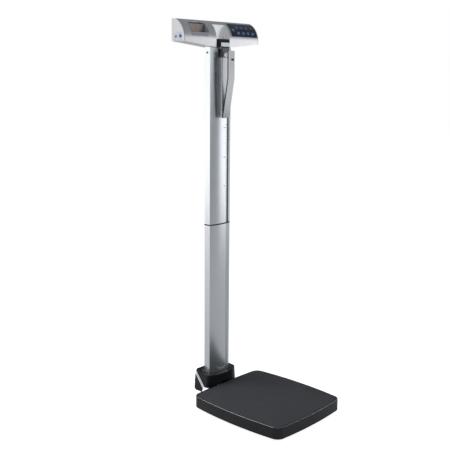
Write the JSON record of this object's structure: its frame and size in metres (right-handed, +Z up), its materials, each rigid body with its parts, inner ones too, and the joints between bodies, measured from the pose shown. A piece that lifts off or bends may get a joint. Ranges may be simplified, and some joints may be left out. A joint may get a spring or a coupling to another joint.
{
  "type": "physician scale",
  "caption": "Eye-level digital physician scale: step-on platform, tall aluminium column, display head with keypad, and telescoping height rod with fold-up headpiece.",
  "frame": {"origin": "on the floor, under the middle of the object's bounding box", "axes": "+Z up along the column, -Y the front where a person steps on, +X to the right of a person facing the column"},
  "size_m": [0.356, 0.5, 1.305],
  "materials": {
    "aluminium": "satin anodised, drawn along its length",
    "chrome": "bright plated",
    "steel": "zinc plated, satin",
    "black_plastic": "moulded, fine grain",
    "mat_rubber": "ribbed anti-slip mat",
    "rubber": "matt",
    "silver_paint": "metallic silver, satin gloss",
    "navy_film": "printed membrane",
    "key_film": "printed membrane",
    "window_glass": "smoked, clear",
    "lcd_glass": "unlit liquid crystal",
    "board": "green circuit board",
    "port_plastic": "moulded, pale",
    "cable_jacket": "matt jacket"
  },
  "bodies": {
    "base": {"platform_cover": "black_plastic", "boot_front_cover": "black_plastic", "boot_rear_cover": "black_plastic", "rod_guide": "black_plastic", "power_jack": "black_plastic", "data_port": "black_plastic", "battery_box": "black_plastic", "platform_mat": "mat_rubber", "base_frame": "steel", "pillar_bracket": "steel", "wheel_axle": "steel", "column_splice": "steel", "column_screw_left": "steel", "column_screw_right": "steel", "head_bracket": "steel", "junction_board": "board", "main_board": "board", "load_cell_front_left": "aluminium", "load_cell_back_left": "aluminium", "load_cell_front_right": "aluminium", "load_cell_back_right": "aluminium", "pillar_insert": "aluminium", "lower_column": "aluminium", "upper_column": "aluminium", "foot_front_left": "rubber", "foot_back_left": "rubber", "foot_front_right": "rubber", "foot_back_right": "rubber", "column_gasket": "rubber", "boot_trim": "chrome", "head_shell": "silver_paint", "head_back_cover": "silver_paint", "end_cap_left": "silver_paint", "end_cap_right": "silver_paint", "port_panel": "port_plastic", "display_window": "window_glass", "lcd_module": "lcd_glass", "keypad_overlay": "navy_film", "signal_cable": "cable_jacket"},
    "outer_stage": {"outer_rod": "aluminium"},
    "inner_stage": {"inner_rod": "aluminium", "rod_cap": "black_plastic", "rod_cap_plate": "silver_paint", "headpiece_knuckle": "chrome", "headpiece_pin": "steel", "headpiece_strip": "chrome"},
    "headpiece_arm": {"headpiece": "chrome", "headpiece_catch": "black_plastic"},
    "wheel_left_body": {"wheel_left": "rubber"},
    "wheel_right_body": {"wheel_right": "rubber"},
    "battery_door_body": {"battery_door": "silver_paint"},
    "key_1_body": {"key_1": "key_film"},
    "key_2_body": {"key_2": "key_film"},
    "key_3_body": {"key_3": "key_film"},
    "key_4_body": {"key_4": "key_film"},
    "key_5_body": {"key_5": "key_film"},
    "key_6_body": {"key_6": "key_film"},
    "key_7_body": {"key_7": "key_film"},
    "key_8_body": {"key_8": "key_film"},
    "key_9_body": {"key_9": "key_film"}
  },
  "joints": [
    {"name": "outer_rod_slide", "type": "slide", "parent": "base", "child": "outer_stage", "axis": [0, 0, 1], "range_m": [0, 0.495]},
    {"name": "inner_rod_slide", "type": "slide", "parent": "outer_stage", "child": "inner_stage", "axis": [0, 0, 1], "range_m": [0, 0.495]},
    {"name": "headpiece_hinge", "type": "hinge", "parent": "inner_stage", "child": "headpiece_arm", "pos_m": [0, 0.136, 1.194], "axis": [1, 0, 0], "range_deg": [-90, 0]},
    {"name": "wheel_left_spin", "type": "hinge", "parent": "base", "child": "wheel_left_body", "pos_m": [-0.038, 0.232, 0.04], "axis": [1, 0, 0], "continuous": true},
    {"name": "wheel_right_spin", "type": "hinge", "parent": "base", "child": "wheel_right_body", "pos_m": [0.038, 0.232, 0.04], "axis": [1, 0, 0], "continuous": true},
    {"name": "battery_door_slide", "type": "slide", "parent": "base", "child": "battery_door_body", "axis": [0, 1, 0], "range_m": [0, 0.06]},
    {"name": "key_1_press", "type": "slide", "parent": "base", "child": "key_1_body", "axis": [0, 0.8526, -0.5225], "range_m": [0, 0.0006], "stiffness_N_per_m": 800, "springref_m": -0.0005},
    {"name": "key_2_press", "type": "slide", "parent": "base", "child": "key_2_body", "axis": [0, 0.766, -0.6428], "range_m": [0, 0.0006], "stiffness_N_per_m": 800, "springref_m": -0.0005},
    {"name": "key_3_press", "type": "slide", "parent": "base", "child": "key_3_body", "axis": [0, 0.766, -0.6428], "range_m": [0, 0.0006], "stiffness_N_per_m": 800, "springref_m": -0.0005},
    {"name": "key_4_press", "type": "slide", "parent": "base", "child": "key_4_body", "axis": [0, 0.766, -0.6428], "range_m": [0, 0.0006], "stiffness_N_per_m": 800, "springref_m": -0.0005},
    {"name": "key_5_press", "type": "slide", "parent": "base", "child": "key_5_body", "axis": [0, 0.766, -0.6428], "range_m": [0, 0.0006], "stiffness_N_per_m": 800, "springref_m": -0.0005},
    {"name": "key_6_press", "type": "slide", "parent": "base", "child": "key_6_body", "axis": [0, 0.9304, -0.3665], "range_m": [0, 0.0006], "stiffness_N_per_m": 800, "springref_m": -0.0005},
    {"name": "key_7_press", "type": "slide", "parent": "base", "child": "key_7_body", "axis": [0, 0.9304, -0.3665], "range_m": [0, 0.0006], "stiffness_N_per_m": 800, "springref_m": -0.0005},
    {"name": "key_8_press", "type": "slide", "parent": "base", "child": "key_8_body", "axis": [0, 0.9304, -0.3665], "range_m": [0, 0.0006], "stiffness_N_per_m": 800, "springref_m": -0.0005},
    {"name": "key_9_press", "type": "slide", "parent": "base", "child": "key_9_body", "axis": [0, 0.9304, -0.3665], "range_m": [0, 0.0006], "stiffness_N_per_m": 800, "springref_m": -0.0005}
  ]
}
